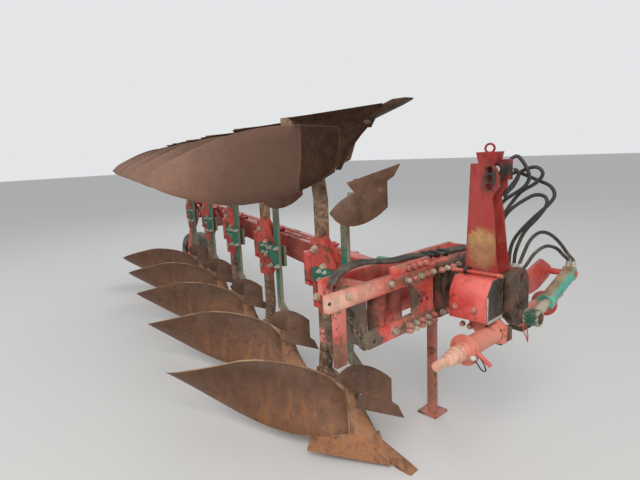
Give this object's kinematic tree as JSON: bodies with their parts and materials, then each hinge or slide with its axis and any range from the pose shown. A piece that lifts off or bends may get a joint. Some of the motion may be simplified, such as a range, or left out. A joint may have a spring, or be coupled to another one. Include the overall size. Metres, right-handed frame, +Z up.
{
  "type": "mounted reversible mouldboard plough",
  "caption": "Tractor-mounted reversible plough: a skewed beam with pairs of mouldboard bodies and skimmers above and below it, turned over by a headstock cylinder.",
  "frame": {"origin": "centre of the whole plough's box, on the floor", "axes": "+X forward towards the tractor, +Y to the left, +Z up"},
  "size_m": [5.7403, 2.4234, 1.816],
  "materials": {
    "body_steel": "rusted wear steel with traces of paint",
    "leg_paint": "rusted and muddy red paint",
    "red_paint": "worn and chalky red paint",
    "green_paint": "worn green paint",
    "dark_steel": "rusty and greasy steel",
    "hose_rubber": "dusty matt",
    "tyre_rubber": "muddy"
  },
  "bodies": {
    "headstock": {"headstock_housing": "dark_steel", "tower": "red_paint", "cover_box": "red_paint", "cross_shaft": "red_paint", "cylinder_bracket": "red_paint", "headstock_hoses": "hose_rubber"},
    "frame": {"turnover_shaft": "dark_steel", "front_frame": "red_paint", "carriage": "red_paint", "frame_hoses": "hose_rubber"},
    "beam": {"main_beam": "red_paint"},
    "link": {"link_rod": "red_paint"},
    "turn_barrel": {"turn_barrel": "green_paint"},
    "turn_rod": {"turn_rod": "dark_steel"},
    "width_barrel": {"width_barrel": "green_paint"},
    "width_rod": {"width_rod": "dark_steel"},
    "wheel_arm": {"wheel_arm": "red_paint"},
    "wheel": {"wheel_rim": "dark_steel", "wheel_tyre": "tyre_rubber"},
    "stand": {"stand_leg": "red_paint"},
    "station_1": {"leg_1": "leg_paint", "boards_1": "body_steel", "shares_1": "body_steel", "stalk_1": "green_paint", "skimmers_1": "body_steel"},
    "station_2": {"leg_2": "leg_paint", "boards_2": "body_steel", "shares_2": "body_steel", "stalk_2": "green_paint", "skimmers_2": "body_steel"},
    "station_3": {"leg_3": "leg_paint", "boards_3": "body_steel", "shares_3": "body_steel", "stalk_3": "green_paint", "skimmers_3": "body_steel"},
    "station_4": {"leg_4": "leg_paint", "boards_4": "body_steel", "shares_4": "body_steel", "stalk_4": "green_paint", "skimmers_4": "body_steel"},
    "station_5": {"leg_5": "leg_paint", "boards_5": "body_steel", "shares_5": "body_steel", "stalk_5": "green_paint", "skimmers_5": "body_steel"}
  },
  "joints": [
    {"name": "turnover", "type": "hinge", "parent": "headstock", "child": "frame", "pos_m": [2.40115, -0.28424, 0.908], "axis": [1, 0, 0], "range_deg": [0, 180]},
    {"name": "width", "type": "hinge", "parent": "frame", "child": "beam", "pos_m": [2.07115, -0.41466, 0.908], "axis": [0, 0, -1], "range_deg": [0, 10]},
    {"name": "station_1_pivot", "type": "hinge", "parent": "beam", "child": "station_1", "pos_m": [1.54115, -0.44424, 0.908], "axis": [0, 0, -1], "range_deg": [-10, 0]},
    {"name": "station_2_pivot", "type": "hinge", "parent": "beam", "child": "station_2", "pos_m": [0.59115, -0.11824, 0.908], "axis": [0, 0, -1], "range_deg": [-10, 0]},
    {"name": "station_3_pivot", "type": "hinge", "parent": "beam", "child": "station_3", "pos_m": [-0.35885, 0.20776, 0.908], "axis": [0, 0, -1], "range_deg": [-10, 0]},
    {"name": "station_4_pivot", "type": "hinge", "parent": "beam", "child": "station_4", "pos_m": [-1.30885, 0.53376, 0.908], "axis": [0, 0, -1], "range_deg": [-10, 0]},
    {"name": "station_5_pivot", "type": "hinge", "parent": "beam", "child": "station_5", "pos_m": [-2.25885, 0.85976, 0.908], "axis": [0, 0, -1], "range_deg": [-10, 0]},
    {"name": "link_pivot", "type": "hinge", "parent": "station_1", "child": "link", "pos_m": [1.5947, -0.28817, 1.038], "axis": [0, 0, -1], "range_deg": [0, 10]},
    {"name": "turn_cylinder_swing", "type": "hinge", "parent": "headstock", "child": "turn_barrel", "pos_m": [2.82915, 0.14976, 0.938], "axis": [1, 0, 0], "range_deg": [-24.1, 0.3]},
    {"name": "turn_cylinder_slide", "type": "slide", "parent": "turn_barrel", "child": "turn_rod", "axis": [0, -0.9616, -0.2746], "range_m": [-0.093, 0.0157]},
    {"name": "width_cylinder_swing", "type": "hinge", "parent": "frame", "child": "width_barrel", "pos_m": [2.10115, -0.05824, 0.908], "axis": [0, 0, -1], "range_deg": [0, 10]},
    {"name": "width_cylinder_slide", "type": "slide", "parent": "width_barrel", "child": "width_rod", "axis": [-0.995, -0.0995, 0], "range_m": [-0.066, 0]},
    {"name": "wheel_swing", "type": "hinge", "parent": "beam", "child": "wheel_arm", "pos_m": [-2.39015, 0.99665, 0.908], "axis": [0, 1, 0], "range_deg": [0, 143.6]},
    {"name": "wheel_spin", "type": "hinge", "parent": "wheel_arm", "child": "wheel", "pos_m": [-2.60015, 1.11665, 0.27], "axis": [0, 1, 0], "continuous": true},
    {"name": "stand_fold", "type": "hinge", "parent": "frame", "child": "stand", "pos_m": [2.13915, -0.03824, 0.715], "axis": [1, 0, 0], "range_deg": [0, 90]}
  ],
  "couplings": [
    {"joint": "station_1_pivot", "follows": "width", "ratio": -1},
    {"joint": "station_2_pivot", "follows": "width", "ratio": -1},
    {"joint": "station_3_pivot", "follows": "width", "ratio": -1},
    {"joint": "station_4_pivot", "follows": "width", "ratio": -1},
    {"joint": "station_5_pivot", "follows": "width", "ratio": -1},
    {"joint": "link_pivot", "follows": "width", "ratio": 1},
    {"joint": "width_cylinder_swing", "follows": "width", "ratio": 0.922},
    {"joint": "width_cylinder_slide", "follows": "width", "m_per_rad": -0.35534}
  ]
}
